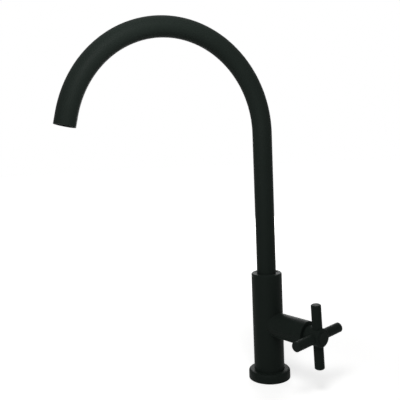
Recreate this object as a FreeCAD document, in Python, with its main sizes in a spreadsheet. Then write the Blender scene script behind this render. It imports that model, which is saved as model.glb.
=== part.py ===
"""Deck-mounted kitchen pillar tap with a swan-neck swivel spout and a cross handle.

Millimetres, +Z up. The origin is the centre of the base flange's underside, which is the deck.
The spout reaches along -X. The valve branch leaves the pillar at branch_turn from -Y towards +X.
"""
import FreeCAD
import Part
import Sketcher

import os
import re

# Driving sizes in millimetres and degrees, one cell of the sheet each
SIZES = {
    # Swan-neck spout, bent from one tube
    "tube_dia": 20.0,
    "tube_wall": 1.0,
    "bend_radius": 103.0,
    "bend_angle": 166.0,
    "riser_length": 146.0,
    # Pillar and base flange
    "pillar_dia": 32.0,
    "pillar_edge": 0.8,
    "foot_seat": 3.0,
    "flange_dia": 44.0,
    "flange_height": 9.5,
    "flange_round": 2.5,
    "base_ring_width": 4.0,
    "base_ring_depth": 2.0,
    "base_ring_inset": 2.5,
    # Threaded tail and its clamping parts under the deck
    "half_inch_dia": 20.955,
    "inlet_bore": 12.0,
    "tail_grip": 12.0,
    "deck_thick": 20.0,
    "tail_spare": 22.0,
    "tail_edge": 1.2,
    "tail_relief_width": 2.0,
    "tail_relief_depth": 1.3,
    "rubber_washer_dia": 42.0,
    "rubber_washer_thick": 3.0,
    "steel_washer_dia": 40.0,
    "steel_washer_thick": 2.0,
    "nut_flats": 30.0,
    "nut_thick": 9.0,
    "nut_edge": 1.5,
    # Spout socket in the pillar
    "socket_depth": 40.0,
    "waterway_dia": 17.0,
    "waterway_floor": 7.0,
    "waterway_height": 7.0,
    "swivel_bush_height": 14.0,
    "swivel_bush_wall": 2.0,
    "swivel_bush_sink": 0.4,
    "thrust_washer_thick": 2.0,
    "tail_bore": 13.0,
    "tail_height": 23.0,
    "tail_plug": 10.0,
    "ring_section": 2.1,
    "ring_groove_width": 3.0,
    "lower_ring_up": 5.0,
    "upper_ring_up": 10.5,
    "screw_groove_up": 17.0,
    "screw_groove_depth": 2.0,
    "grub_dia": 5.0,
    "grub_point_dia": 3.8,
    "grub_point_gap": 0.4,
    "grub_flats": 2.5,
    "grub_socket_depth": 2.5,
    "grub_sink": 0.6,
    # Valve branch and the water ways round the seat
    "branch_height": 60.0,
    "branch_turn": 11.0,
    "branch_dia": 26.0,
    "boss_length": 43.0,
    "seat_depth": 18.0,
    "seat_port_dia": 10.0,
    "seat_rim_dia": 16.4,
    "gallery_depth": 11.0,
    "sleeve_wall": 1.0,
    "sleeve_round": 1.0,
    # Quarter-turn ceramic headwork
    "lip_seal_thick": 2.0,
    "lip_seal_proud": 0.4,
    "cage_dia": 18.4,
    "cage_length": 16.0,
    "chamber_dia": 16.0,
    "chamber_length": 15.1,
    "gasket_thick": 1.0,
    "hex_corner_gap": 0.5,
    "hex_height": 6.0,
    "hex_edge": 1.0,
    "neck_dia": 16.0,
    "neck_length": 6.0,
    "disc_thick": 3.0,
    "port_inner_dia": 4.4,
    "port_outer_dia": 12.4,
    "port_angle": 78.0,
    "ear_width": 4.0,
    "window_width": 8.0,
    "window_height": 4.5,
    "window_up": 8.4,
    "valve_travel": 90.0,
    "lug_play": 0.5,
    "lug_root_dia": 12.6,
    "lug_thick": 1.6,
    "spindle_dia": 10.0,
    "stem_dia": 8.6,
    "driver_width": 6.0,
    "driver_thick": 2.0,
    "tang_width": 3.8,
    "tang_depth": 1.4,
    "tang_inner_dia": 10.4,
    "driver_reach": 7.0,
    "spindle_ring_section": 1.7,
    "spindle_groove_width": 2.2,
    "outer_ring_down": 6.0,
    "inner_ring_down": 11.0,
    "clip_thick": 0.9,
    "clip_groove_dia": 8.4,
    "clip_dia": 12.6,
    "clip_opening": 70.0,
    "spline_dia": 8.2,
    "spline_depth": 0.4,
    "spline_teeth": 20,
    "spline_root_half": 0.15,
    "spline_slope": 0.675,
    # Cross handle
    "hub_dia": 19.0,
    "hub_gap": 0.6,
    "hub_length": 17.4,
    "hub_round": 1.2,
    "hub_back_edge": 0.4,
    "hub_pocket_dia": 14.4,
    "hub_pocket_depth": 3.2,
    "hub_web": 2.0,
    "hub_front_dia": 13.2,
    "arm_dia": 10.0,
    "arm_reach": 33.0,
    "arm_up": 10.9,
    "arm_edge": 0.8,
    "arm_spigot_dia": 4.6,
    "spigot_floor": 0.3,
    "cross_turn": 3.4,
    "screw_dia": 4.0,
    "screw_head_dia": 7.0,
    "screw_head_height": 2.4,
    "screw_length": 10.0,
    "screw_flats": 2.5,
    "screw_socket_depth": 1.2,
    "head_room": 0.6,
    "cap_thick": 1.2,
    "cap_rise": 0.6,
    "cap_round": 0.5,
    # Aerator in the spout's mouth
    "mouth_ring_wall": 0.7,
    "mouth_ring_inset": 0.3,
    "mouth_ring_reserve": 0.2,
    "mouth_ledge": 1.8,
    "mouth_ledge_bore": 13.6,
    "aerator_inset": 0.9,
    "aerator_wall": 0.9,
    "aerator_lip": 0.5,
    "aerator_lip_thick": 0.7,
    "aerator_notch": 2.2,
    "aerator_notch_depth": 0.6,
    "grid_thick": 3.0,
    "grid_pitch": 2.2,
    "grid_web": 0.4,
    "grid_rim": 0.5,
    "grid_gap": 0.85,
    "screen_thick": 1.5,
    "screen_step": 0.45,
    "screen_hole_dia": 1.4,
    "screen_inner_ring_dia": 5.0,
    "screen_outer_ring_dia": 10.4,
    "aerator_seal_thick": 1.5,
    "aerator_seal_width": 1.4,
    # Clearances
    "flat_gap": 0.05,
    "fixed_fit": 0.03,
    "running_fit": 0.06,
    "play": 0.3,
}
ARMS = 4
GRID_RINGS = 3
SCREEN_INNER_HOLES = 6
SCREEN_OUTER_HOLES = 12
NOTCHES = 4
OVERRUN = 2.0

DOC = FreeCAD.newDocument("kitchen_tap")
SHEET = DOC.addObject("Spreadsheet::Sheet", "Sizes")
NODES = []

# Heights on the tap's vertical axis
SOCKET_FLOOR = "branch_height + waterway_floor + waterway_height"
PILLAR_TOP = SOCKET_FLOOR + " + socket_depth"
TAIL_FOOT = SOCKET_FLOOR + " + thrust_washer_thick + flat_gap"
TAIL_TOP = TAIL_FOOT + " + tail_height"
SCREW_LEVEL = TAIL_FOOT + " + screw_groove_up"
SCREW_GROOVE = "grub_point_dia + grub_point_gap * 2"
BUSH_TOP = PILLAR_TOP + " - swivel_bush_sink"
BUSH_BASE = BUSH_TOP + " - swivel_bush_height"
RISER_TOP = PILLAR_TOP + " + riser_length"
NUT_LOW = "-deck_thick - rubber_washer_thick - steel_washer_thick - nut_thick"
TAIL_LOW_END = NUT_LOW + " - tail_spare"

# Distances along the valve axis from the pillar's axis
BUSH_FOOT = "seat_depth + lip_seal_proud"
SEAL_TOP = "seat_depth + lip_seal_thick"
FIXED_TOP = SEAL_TOP + " + disc_thick"
MOVING_TOP = FIXED_TOP + " + disc_thick"
CAGE_TOP = BUSH_FOOT + " + cage_length"
CHAMBER_TOP = BUSH_FOOT + " + chamber_length"
GASKET_TOP = "boss_length + gasket_thick"
HEX_TOP = GASKET_TOP + " + hex_height"
BRANCH_REACH = HEX_TOP + " + neck_length"
CLIP_BASE = BRANCH_REACH + " + flat_gap * 2"
HUB_BACK = BRANCH_REACH + " + hub_gap"
HUB_FRONT = HUB_BACK + " + hub_length"
ARM_PLANE = HUB_BACK + " + arm_up"
POCKET_FLOOR = HUB_BACK + " + hub_pocket_depth"
FRONT_FLOOR = HUB_FRONT + " - cap_thick - head_room - screw_head_height"
WEB_BACK = FRONT_FLOOR + " - hub_web"
SPLINE_TOP = WEB_BACK + " - flat_gap * 4"
SPLINE_FOOT = POCKET_FLOOR + " - flat_gap"

# Radii that several pieces share
TUBE_RADIUS = "tube_dia / 2"
TUBE_INSIDE = "tube_dia / 2 - tube_wall"
SOCKET_RADIUS = "tube_dia / 2 + running_fit"
THREAD_RADIUS = "half_inch_dia / 2"
CHAMBER_RADIUS = "chamber_dia / 2"
DISC_RADIUS = "chamber_dia / 2 - running_fit"
MOUTH_RADIUS = TUBE_INSIDE + " - fixed_fit"
THREAD_INSIDE = MOUTH_RADIUS + " - mouth_ring_wall"
AERATOR_RADIUS = THREAD_INSIDE + " - fixed_fit"
AERATOR_INSIDE = AERATOR_RADIUS + " - aerator_wall"
SPLINE_ROOT = "spline_dia / 2 - spline_depth"
HUB_RADIUS = "hub_dia / 2"
SPIGOT_ROOT = "hub_front_dia / 2 + spigot_floor"
SLEEVE_INSIDE = "branch_dia / 2 - sleeve_wall"
HEX_CORNER = SLEEVE_INSIDE + " - hex_corner_gap"
HEX_FLATS = "(%s) * sqrt(3)" % HEX_CORNER

# Heights up from the mouth, and the straight end of the spout, as long as the ring inside it needs
GRID_FOOT = "aerator_inset + aerator_lip_thick"
SCREEN_FOOT = GRID_FOOT + " + grid_thick + grid_gap"
AERATOR_TOP = SCREEN_FOOT + " + screen_thick + flat_gap"
MOUTH_LEDGE = AERATOR_TOP + " + aerator_seal_thick"
RING_TOP = MOUTH_LEDGE + " + mouth_ledge"
MOUTH_STRAIGHT = RING_TOP + " + mouth_ring_reserve"

# Angles about the valve axis
LUG_ANGLE = "(180 - valve_travel) / 2 - lug_play"
LUG_START = "90 - valve_travel / 2"


def fill_sheet():
    """Write every driving size into its own cell and name the cell."""
    for row, (name, value) in enumerate(SIZES.items(), 1):
        SHEET.set("A%d" % row, name)
        SHEET.set("B%d" % row, str(value))
        SHEET.setAlias("B%d" % row, name)
    DOC.recompute()


def bound(text):
    """Turn the size names in an expression into cells of the sheet."""
    def cell(found):
        word = found.group()
        return "Sizes." + word if word in SIZES else word
    return re.sub(r"[a-z][a-z_]+", cell, text)


def number(text):
    """Value of an expression of sizes."""
    return float(SHEET.evalExpression(bound(text)))


def new_body(name):
    """Start a sub-part as a body whose label names its file."""
    body = DOC.addObject("PartDesign::Body", name)
    body.Label = name
    NODES.append(body)
    return body


def place(item, base=("0", "0", "0"), turn=("0", "0", "0")):
    """Bind an object's placement to expressions: base point, then yaw, pitch and roll."""
    item.setExpression("Placement", bound(
        "placement(vector(%s; %s; %s); rotation(%s; %s; %s))" % (*base, *turn)))


def place_on_valve(item, along="0", angle="0"):
    """Put an object whose own +Z is the valve axis, turned about it, at a distance from the pillar."""
    base = ("(%s) * sin(branch_turn)" % along, "-(%s) * cos(branch_turn)" % along, "branch_height")
    place(item, base, ("branch_turn", "-(%s)" % angle, "90"))


def place_in_mouth(item):
    """Put an object whose own +Z runs up the spout at the centre of the spout's mouth."""
    across = "bend_radius * (cos(bend_angle) - 1) - (%s) * sin(bend_angle)" % MOUTH_STRAIGHT
    height = RISER_TOP + " + bend_radius * sin(bend_angle) + (%s) * cos(bend_angle)" % MOUTH_STRAIGHT
    place(item, (across, "0", height), ("0", "180 - bend_angle", "0"))


def new_sketch(body, role, offset="0", turn="0", spin="0", shift="0"):
    """Sketch on an origin plane, moved along its normal or first axis, turned about its second or spun."""
    sketch = body.newObject("Sketcher::SketchObject", body.Name + "_sketch")
    plane = next(item for item in body.Origin.OriginFeatures if item.Role == role)
    sketch.AttachmentSupport = [(plane, "")]
    sketch.MapMode = "FlatFace"
    sketch.setExpression("AttachmentOffset", bound(
        "placement(vector(%s; 0; %s); rotation(%s; %s; 0))" % (shift, offset, spin, turn)))
    return sketch


def pin_point(sketch, geometry, point, place_x, place_y):
    """Hold a point of the sketch at two expressions of sizes."""
    for axis, kind, text in ((-2, "DistanceX", place_x), (-1, "DistanceY", place_y)):
        if text == "0":
            sketch.addConstraint(Sketcher.Constraint("PointOnObject", geometry, point, axis))
            continue
        index = sketch.addConstraint(
            Sketcher.Constraint(kind, -1, 1, geometry, point, number(text)))
        sketch.setExpression("Constraints[%d]" % index, bound(text))


def outline(body, role, points, offset="0", turn="0", spin="0"):
    """Sketch a closed outline of straight edges through points given as pairs of expressions."""
    sketch = new_sketch(body, role, offset, turn, spin)
    places = [FreeCAD.Vector(number(x), number(y), 0) for x, y in points]
    count = len(places)
    for index in range(count):
        sketch.addGeometry(Part.LineSegment(places[index], places[(index + 1) % count]), False)
    for index in range(count):
        sketch.addConstraint(
            Sketcher.Constraint("Coincident", index, 2, (index + 1) % count, 1))
    for index, (x, y) in enumerate(points):
        pin_point(sketch, index, 1, x, y)
    return sketch


def circles(body, role, rounds, offset="0", turn="0", shift="0"):
    """Sketch circles given as centre x, centre y and radius expressions."""
    sketch = new_sketch(body, role, offset, turn, shift=shift)
    for x, y, radius in rounds:
        centre = FreeCAD.Vector(number(x), number(y), 0)
        index = sketch.addGeometry(
            Part.Circle(centre, FreeCAD.Vector(0, 0, 1), number(radius)), False)
        size = sketch.addConstraint(Sketcher.Constraint("Radius", index, number(radius)))
        sketch.setExpression("Constraints[%d]" % size, bound(radius))
        pin_point(sketch, index, 3, x, y)
    return sketch


def turn_round(body, sketch, cut=False, angle="360", axis="V_Axis"):
    """Revolve a sketch about one of its axes, or cut that form away; a part turn is centred."""
    kind = "PartDesign::Groove" if cut else "PartDesign::Revolution"
    feature = body.newObject(kind, body.Name + ("_groove" if cut else "_turned"))
    feature.Profile = sketch
    feature.ReferenceAxis = (sketch, [axis])
    feature.setExpression("Angle", bound(angle))
    feature.Midplane = angle != "360"
    return feature


def turned(body, points, cut=False, angle="360", turn="0"):
    """Revolve an outline of radius and height pairs about the body's own Z axis."""
    return turn_round(body, outline(body, "XZ_Plane", points, turn=turn), cut, angle)


def ring_points(inner, outer, low, high):
    """Corners of a ring's rectangular section."""
    return [(inner, low), (outer, low), (outer, high), (inner, high)]


def pushed(body, sketch, length, cut=False, back=False):
    """Extrude a sketch along its normal, or cut against it; back turns either round."""
    kind = "PartDesign::Pocket" if cut else "PartDesign::Pad"
    feature = body.newObject(kind, body.Name + ("_pocket" if cut else "_pad"))
    feature.Profile = sketch
    feature.setExpression("Length", bound(length))
    feature.Reversed = back
    return feature


def repeated(body, feature, count):
    """Repeat a feature round the body's Z axis and make the pattern the body's tip."""
    pattern = body.newObject("PartDesign::PolarPattern", body.Name + "_pattern")
    axis = next(item for item in body.Origin.OriginFeatures if item.Role == "Z_Axis")
    pattern.Originals = [feature]
    pattern.Axis = (axis, [""])
    pattern.Angle = 360
    if count in SIZES:
        pattern.setExpression("Occurrences", bound(count))
    else:
        pattern.Occurrences = int(count)
    body.Tip = pattern
    return pattern


def hexagon_points(flats):
    """Corners of a hexagon with two flats square to the first axis."""
    side = "(%s) / 2" % flats
    corner = "(%s) / sqrt(3)" % flats
    half = "(%s) / sqrt(12)" % flats
    return [(side, "-" + half), (side, half), ("0", corner),
            ("-" + side, half), ("-" + side, "-" + half), ("0", "-" + corner)]


def rim_edges(feature, radius, height):
    """Names of a feature's circular edges with this radius at this height on its own Z axis."""
    DOC.recompute()
    names = []
    for index, edge in enumerate(feature.Shape.Edges, 1):
        curve = edge.Curve
        if not isinstance(curve, Part.Circle):
            continue
        same_radius = abs(curve.Radius - number(radius)) < 1e-4
        same_height = abs(curve.Center.z - number(height)) < 1e-4
        if same_radius and same_height:
            names.append("Edge%d" % index)
    return names


def rounded(body, feature, radius, height, size):
    """Round a circular rim."""
    fillet = body.newObject("PartDesign::Fillet", body.Name + "_round")
    fillet.Base = (feature, rim_edges(feature, radius, height))
    fillet.setExpression("Radius", bound(size))
    return fillet


def pillar_body():
    """Pillar and valve boss with the spout socket, seat, water gallery and threads' bores."""
    body = new_body("pillar_body")
    half = "pillar_dia / 2"
    turned(body, [("0", "foot_seat"), (half, "foot_seat"), (half, PILLAR_TOP + " - pillar_edge"),
                  (half + " - pillar_edge", PILLAR_TOP), ("0", PILLAR_TOP)])
    boss = circles(body, "XZ_Plane", [("0", "branch_height", "branch_dia / 2")])
    pushed(body, boss, "boss_length - flat_gap")
    bush_seat = SOCKET_RADIUS + " + swivel_bush_wall + fixed_fit"
    above = PILLAR_TOP + " + %g" % OVERRUN
    turned(body, [("0", "branch_height + waterway_floor"),
                  ("waterway_dia / 2", "branch_height + waterway_floor"),
                  ("waterway_dia / 2", SOCKET_FLOOR), (SOCKET_RADIUS, SOCKET_FLOOR),
                  (SOCKET_RADIUS, BUSH_BASE), (bush_seat, BUSH_BASE),
                  (bush_seat, above), ("0", above)], cut=True)
    thread = THREAD_RADIUS + " + fixed_fit"
    grip = "foot_seat + tail_grip + flat_gap"
    turned(body, [("0", "foot_seat - %g" % OVERRUN), (thread, "foot_seat - %g" % OVERRUN),
                  (thread, grip), ("inlet_bore / 2", grip),
                  ("inlet_bore / 2", "branch_height"), ("0", "branch_height")], cut=True)
    headwork_bore = circles(body, "XZ_Plane", [("0", "branch_height", thread)], "boss_length")
    pushed(body, headwork_bore, "boss_length - seat_depth", cut=True)
    port = circles(body, "XZ_Plane", [("0", "branch_height", "seat_port_dia / 2")], "seat_depth")
    pushed(body, port, "seat_depth", cut=True)
    gallery = circles(body, "XZ_Plane", [("0", "branch_height", thread),
                                         ("0", "branch_height", "seat_rim_dia / 2")], "seat_depth")
    pushed(body, gallery, "gallery_depth", cut=True)
    grub_hole = circles(body, "XZ_Plane", [("0", SCREW_LEVEL, "grub_dia / 2 + fixed_fit")],
                        "-tube_dia / 2 + screw_groove_depth")
    pushed(body, grub_hole, "pillar_dia / 2", cut=True)
    place(body, turn=("branch_turn", "0", "0"))


def base_flange():
    """Round flange that the pillar stands in, with a groove for its sealing ring underneath."""
    body = new_body("base_flange")
    outer = "flange_dia / 2"
    lip = THREAD_RADIUS + " + play"
    bore = "pillar_dia / 2 + flat_gap"
    groove = outer + " - base_ring_inset"
    ring = turned(body, [(lip, "0"), (groove + " - base_ring_width", "0"),
                         (groove + " - base_ring_width", "base_ring_depth"),
                         (groove, "base_ring_depth"), (groove, "0"), (outer, "0"),
                         (outer, "flange_height"), (bore, "flange_height"),
                         (bore, "foot_seat"), (lip, "foot_seat")])
    rounded(body, ring, outer, "flange_height", "flange_round")


def base_gasket():
    """Rubber ring in the flange's groove, flush with the underside when clamped."""
    body = new_body("base_gasket")
    outer = "flange_dia / 2 - base_ring_inset - flat_gap"
    inner = "flange_dia / 2 - base_ring_inset - base_ring_width + flat_gap"
    turned(body, ring_points(inner, outer, "0", "base_ring_depth - flat_gap"))


def inlet_shank():
    """Threaded tail down through the deck, with a relief between the nut's thread and the supply's."""
    body = new_body("inlet_shank")
    inner = "inlet_bore / 2"
    relief_top = NUT_LOW + " - play"
    relief_low = relief_top + " - tail_relief_width"
    turned(body, [(inner, TAIL_LOW_END), (THREAD_RADIUS + " - tail_edge", TAIL_LOW_END),
                  (THREAD_RADIUS, TAIL_LOW_END + " + tail_edge"),
                  (THREAD_RADIUS, "foot_seat + tail_grip"), (inner, "foot_seat + tail_grip")])
    turned(body, ring_points(THREAD_RADIUS + " - tail_relief_depth", THREAD_RADIUS + " + play",
                             relief_low, relief_top), cut=True)


def deck_washers():
    """Rubber and steel washers that clamp the deck from below."""
    bore = THREAD_RADIUS + " + play"
    below = "-deck_thick - rubber_washer_thick"
    rubber = new_body("deck_washer")
    turned(rubber, ring_points(bore, "rubber_washer_dia / 2", below, "-deck_thick"))
    steel = new_body("clamp_washer")
    turned(steel, ring_points(bore, "steel_washer_dia / 2", below + " - steel_washer_thick", below))


def back_nut():
    """Hexagon back nut with both rims of its corners turned off."""
    body = new_body("back_nut")
    top = "-deck_thick - rubber_washer_thick - steel_washer_thick"
    low = NUT_LOW
    corner = "nut_flats / sqrt(3)"
    face = "nut_flats / 2"
    pushed(body, outline(body, "XY_Plane", hexagon_points("nut_flats"), low), "nut_thick")
    turned(body, [(face, low), (corner, low), (corner, low + " + nut_edge")], cut=True)
    turned(body, [(face, top), (corner, top), (corner, top + " - nut_edge")], cut=True)
    bore = circles(body, "XY_Plane", [("0", "0", THREAD_RADIUS + " + fixed_fit")], top)
    pushed(body, bore, "nut_thick", cut=True)


def swivel_bearings():
    """Plastic bush round the spout at the pillar's mouth and thrust washer under the spout."""
    bush = new_body("swivel_bush")
    outer = SOCKET_RADIUS + " + swivel_bush_wall"
    turned(bush, ring_points(SOCKET_RADIUS, outer, BUSH_BASE, BUSH_TOP))
    washer = new_body("thrust_washer")
    turned(washer, ring_points("waterway_dia / 2", TUBE_RADIUS, SOCKET_FLOOR,
                               SOCKET_FLOOR + " + thrust_washer_thick"))


def spout_grub_screw():
    """Retaining screw at the pillar's back, its point in the groove of the spout's tail."""
    body = new_body("spout_grub_screw")
    tip = "tube_dia / 2 - screw_groove_depth + play"
    shoulder = SOCKET_RADIUS + " + flat_gap"
    head = "pillar_dia / 2 - grub_sink"
    point = "grub_point_dia / 2"
    turned(body, [("0", tip), (point, tip), (point, shoulder), ("grub_dia / 2", shoulder),
                  ("grub_dia / 2", head), ("0", head)])
    socket = outline(body, "XY_Plane", hexagon_points("grub_flats"), head)
    pushed(body, socket, "grub_socket_depth", cut=True)
    place(body, ("0", "0", SCREW_LEVEL), ("branch_turn", "0", "-90"))


def spout_tube():
    """Swan neck: a straight riser, one long bend about an axis across the spout and a straight end."""
    body = new_body("spout_tube")
    walls = [("0", "0", TUBE_RADIUS), ("0", "0", TUBE_INSIDE)]
    pushed(body, circles(body, "XY_Plane", walls, TAIL_TOP), "%s - (%s)" % (RISER_TOP, TAIL_TOP))
    section = circles(body, "XY_Plane", walls, RISER_TOP)
    bend = number("bend_radius")
    hinge_line = section.addGeometry(Part.LineSegment(
        FreeCAD.Vector(-bend, -bend, 0), FreeCAD.Vector(-bend, bend, 0)), True)
    pin_point(section, hinge_line, 1, "-bend_radius", "-bend_radius")
    pin_point(section, hinge_line, 2, "-bend_radius", "bend_radius")
    neck = body.newObject("PartDesign::Revolution", "spout_tube_neck")
    neck.Profile = section
    neck.ReferenceAxis = (section, ["Axis0"])
    neck.setExpression("Angle", bound("bend_angle"))
    neck.Reversed = True
    end = circles(body, "XY_Plane", walls, RISER_TOP + " + bend_radius * sin(bend_angle)",
                  "-bend_angle", "bend_radius * (cos(bend_angle) - 1)")
    pushed(body, end, MOUTH_STRAIGHT)


def spout_tail():
    """Turned end of the spout: plug for the tube, two ring grooves and the screw's groove."""
    body = new_body("spout_tail")
    bore = "tail_bore / 2"
    plug = TUBE_INSIDE + " - fixed_fit"
    turned(body, [(bore, TAIL_FOOT), (TUBE_RADIUS, TAIL_FOOT), (TUBE_RADIUS, TAIL_TOP),
                  (plug, TAIL_TOP), (plug, TAIL_TOP + " + tail_plug"), (bore, TAIL_TOP + " + tail_plug")])
    for up in ("lower_ring_up", "upper_ring_up"):
        level = TAIL_FOOT + " + " + up
        cut_groove(body, TUBE_RADIUS, "ring_section", level, "ring_groove_width")
    cut_groove(body, TUBE_RADIUS, "screw_groove_depth", SCREW_LEVEL, SCREW_GROOVE)


def cut_groove(body, surface, depth, level, width):
    """Turn a square groove into a shaft, centred at a level."""
    low = "%s - (%s) / 2" % (level, width)
    high = "%s + (%s) / 2" % (level, width)
    floor = "%s - %s" % (surface, depth)
    turned(body, ring_points(floor, "%s + running_fit" % surface, low, high), cut=True)


def ring_pair(name, bore, section, levels):
    """Two rubber rings of round section between a groove's floor and a bore, as one node."""
    rings = []
    for number_of_ring, level in enumerate(levels, 1):
        ring = DOC.addObject("Part::Torus", "%s_%d" % (name, number_of_ring))
        ring.setExpression("Radius1", bound("%s - %s / 2" % (bore, section)))
        ring.setExpression("Radius2", bound("%s / 2 - fixed_fit" % section))
        place(ring, ("0", "0", level))
        rings.append(ring)
    pair = DOC.addObject("Part::Compound", name)
    pair.Label = name
    pair.Links = rings
    NODES.append(pair)
    return pair


def headwork_bush():
    """Brass body of the ceramic headwork: cage with windows, thread, hexagon, neck and end stops."""
    body = new_body("headwork_bush")
    cage = "cage_dia / 2"
    neck = "neck_dia / 2"
    stem = "spindle_dia / 2 + running_fit"
    turned(body, [(CHAMBER_RADIUS, BUSH_FOOT), (cage, BUSH_FOOT), (cage, CAGE_TOP),
                  (THREAD_RADIUS, CAGE_TOP), (THREAD_RADIUS, GASKET_TOP), (neck, GASKET_TOP),
                  (neck, BRANCH_REACH), (stem, BRANCH_REACH), (stem, CHAMBER_TOP),
                  (CHAMBER_RADIUS, CHAMBER_TOP)])
    hexagon = outline(body, "XY_Plane", hexagon_points(HEX_FLATS), GASKET_TOP)
    pushed(body, hexagon, "hex_height")
    turned(body, [("(%s) / 2" % HEX_FLATS, HEX_TOP), (HEX_CORNER, HEX_TOP),
                  (HEX_CORNER, HEX_TOP + " - hex_edge")], cut=True)
    again = circles(body, "XY_Plane", [("0", "0", stem)], HEX_TOP)
    pushed(body, again, "hex_height", cut=True)
    window = outline(body, "YZ_Plane", [("-window_width / 2", BUSH_FOOT + " + window_up"),
                                        ("window_width / 2", BUSH_FOOT + " + window_up"),
                                        ("window_width / 2", BUSH_FOOT + " + window_up + window_height"),
                                        ("-window_width / 2", BUSH_FOOT + " + window_up + window_height")],
                     "cage_dia / 2")
    repeated(body, pushed(body, window, "cage_dia / 2 - lug_root_dia / 2", cut=True), "2")
    slot = "ear_width / 2 + flat_gap"
    ear_slot = outline(body, "XZ_Plane", [("-(%s)" % slot, BUSH_FOOT), (slot, BUSH_FOOT),
                                          (slot, FIXED_TOP), ("-(%s)" % slot, FIXED_TOP)], "cage_dia / 2")
    repeated(body, pushed(body, ear_slot, "cage_dia / 2 - lug_root_dia / 2", cut=True), "2")
    lug = turned(body, ring_points("lug_root_dia / 2 + flat_gap", CHAMBER_RADIUS + " + flat_gap",
                                   CHAMBER_TOP + " - lug_thick", CHAMBER_TOP), angle=LUG_ANGLE)
    repeated(body, lug, "2")
    place_on_valve(body)


def headwork_seals():
    """Fibre gasket under the hexagon and rubber lip seal between seat and fixed disc."""
    gasket = new_body("headwork_gasket")
    turned(gasket, ring_points(THREAD_RADIUS + " + fixed_fit", SLEEVE_INSIDE + " - play",
                               "boss_length", GASKET_TOP))
    place_on_valve(gasket)
    seal = new_body("lip_seal")
    turned(seal, ring_points("seat_port_dia / 2", DISC_RADIUS, "seat_depth", SEAL_TOP))
    place_on_valve(seal)


def cut_ports(body, low, high, turn):
    """Cut two opposite sector-shaped water ports through a disc."""
    port = turned(body, ring_points("port_inner_dia / 2", "port_outer_dia / 2",
                                    low + " - flat_gap", high + " + flat_gap"),
                  cut=True, angle="port_angle", turn=turn)
    repeated(body, port, "2")


def ceramic_discs():
    """Fixed disc keyed in the cage by two ears, and moving disc driven by the spindle."""
    fixed = new_body("fixed_disc")
    disc = circles(fixed, "XY_Plane", [("0", "0", DISC_RADIUS)], SEAL_TOP)
    pushed(fixed, disc, "disc_thick - flat_gap")
    ear = outline(fixed, "XZ_Plane", [("-ear_width / 2", SEAL_TOP), ("ear_width / 2", SEAL_TOP),
                                      ("ear_width / 2", FIXED_TOP + " - flat_gap"),
                                      ("-ear_width / 2", FIXED_TOP + " - flat_gap")],
                  "lug_root_dia / 2")
    repeated(fixed, pushed(fixed, ear, "cage_dia / 2 - lug_root_dia / 2"), "2")
    cut_ports(fixed, SEAL_TOP, FIXED_TOP, "0")
    place_on_valve(fixed)

    moving = new_body("moving_disc")
    disc = circles(moving, "XY_Plane", [("0", "0", DISC_RADIUS)], FIXED_TOP)
    pushed(moving, disc, "disc_thick")
    cut_ports(moving, FIXED_TOP, MOVING_TOP, "90")
    slot = "tang_width / 2 + flat_gap"
    notch = outline(moving, "YZ_Plane", [("-(%s)" % slot, MOVING_TOP + " - tang_depth - flat_gap"),
                                         (slot, MOVING_TOP + " - tang_depth - flat_gap"),
                                         (slot, MOVING_TOP), ("-(%s)" % slot, MOVING_TOP)],
                    "chamber_dia / 2")
    inward = "chamber_dia / 2 - tang_inner_dia / 2 + flat_gap"
    repeated(moving, pushed(moving, notch, inward, cut=True), "2")
    place_on_valve(moving)


def spline_points(clearance):
    """Section of one spline groove, or of the tooth that fills it with a clearance."""
    root = "%s + %s" % (SPLINE_ROOT, clearance)
    half_root = "spline_root_half - %s / 2" % clearance
    reach = "spline_depth * 2"
    half_mouth = "%s + %s * spline_slope" % (half_root, reach)
    mouth = "%s + %s" % (root, reach)
    return [("-(%s)" % half_root, root), (half_root, root), (half_mouth, mouth),
            ("-(%s)" % half_mouth, mouth)]


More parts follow.
